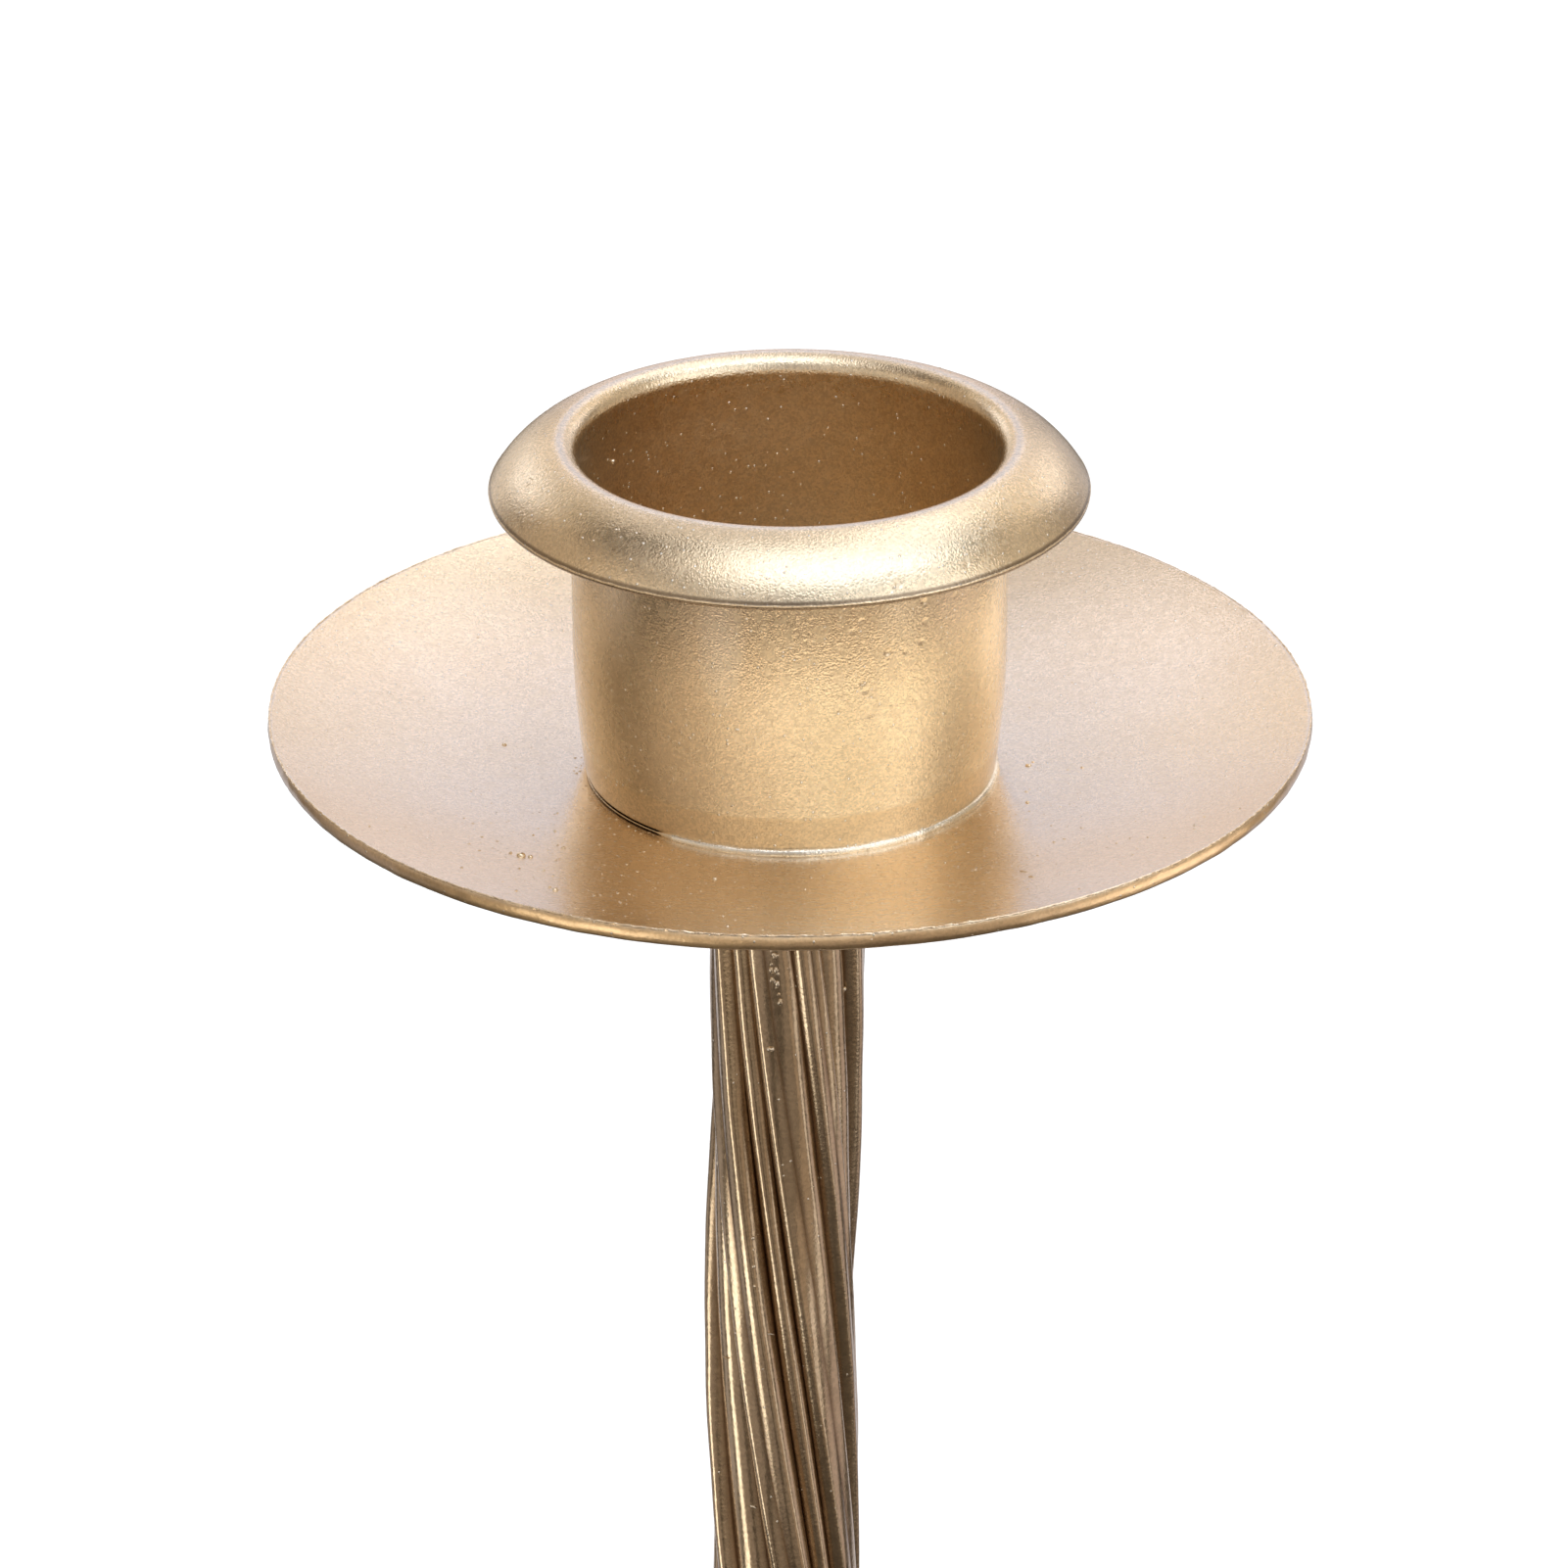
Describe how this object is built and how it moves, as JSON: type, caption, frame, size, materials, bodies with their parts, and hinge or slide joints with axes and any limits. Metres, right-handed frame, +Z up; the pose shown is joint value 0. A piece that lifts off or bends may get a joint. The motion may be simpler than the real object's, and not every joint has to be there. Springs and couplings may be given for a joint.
{
  "type": "spiral candle holder",
  "caption": "Taper candle holder: a drawn cup with a turned-out rim on a dished drip pan, a stem of strands twisted in a spiral, and a round spun foot.",
  "frame": {"origin": "on the ground under the middle of the foot", "axes": "+Z up the stem to the candle cup; -Y faces the picture's camera"},
  "size_m": [0.1, 0.1, 0.2399],
  "materials": {
    "sheet_gold": "satin metallic gold paint with a fine grain",
    "stem_gold": "satin metallic bronze-gold paint, worn bright on the ridges",
    "bare_iron": "bare drawn iron",
    "fastener_steel": "yellow zinc plate",
    "felt": "pressed felt"
  },
  "bodies": {
    "root": {"foot_pad_right": "felt", "foot_pad_back": "felt", "foot_pad_left": "felt", "foot_pad_front": "felt", "spun_foot": "sheet_gold", "drip_pan": "sheet_gold", "candle_cup": "sheet_gold", "lower_collar": "stem_gold", "upper_collar": "stem_gold", "stem_strand_01": "stem_gold", "stem_strand_02": "stem_gold", "stem_strand_03": "stem_gold", "stem_strand_04": "stem_gold", "stem_strand_05": "stem_gold", "stem_strand_06": "stem_gold", "stem_strand_07": "stem_gold", "stem_strand_08": "stem_gold", "stem_strand_09": "stem_gold", "stem_strand_10": "stem_gold", "stem_strand_11": "stem_gold", "stem_strand_12": "stem_gold", "stem_strand_13": "stem_gold", "stem_strand_14": "stem_gold", "stem_strand_15": "stem_gold", "stem_strand_16": "stem_gold", "core_rod": "bare_iron", "foot_screw": "fastener_steel", "foot_washer": "fastener_steel", "cup_washer": "fastener_steel", "cup_screw": "fastener_steel"}
  },
  "joints": []
}
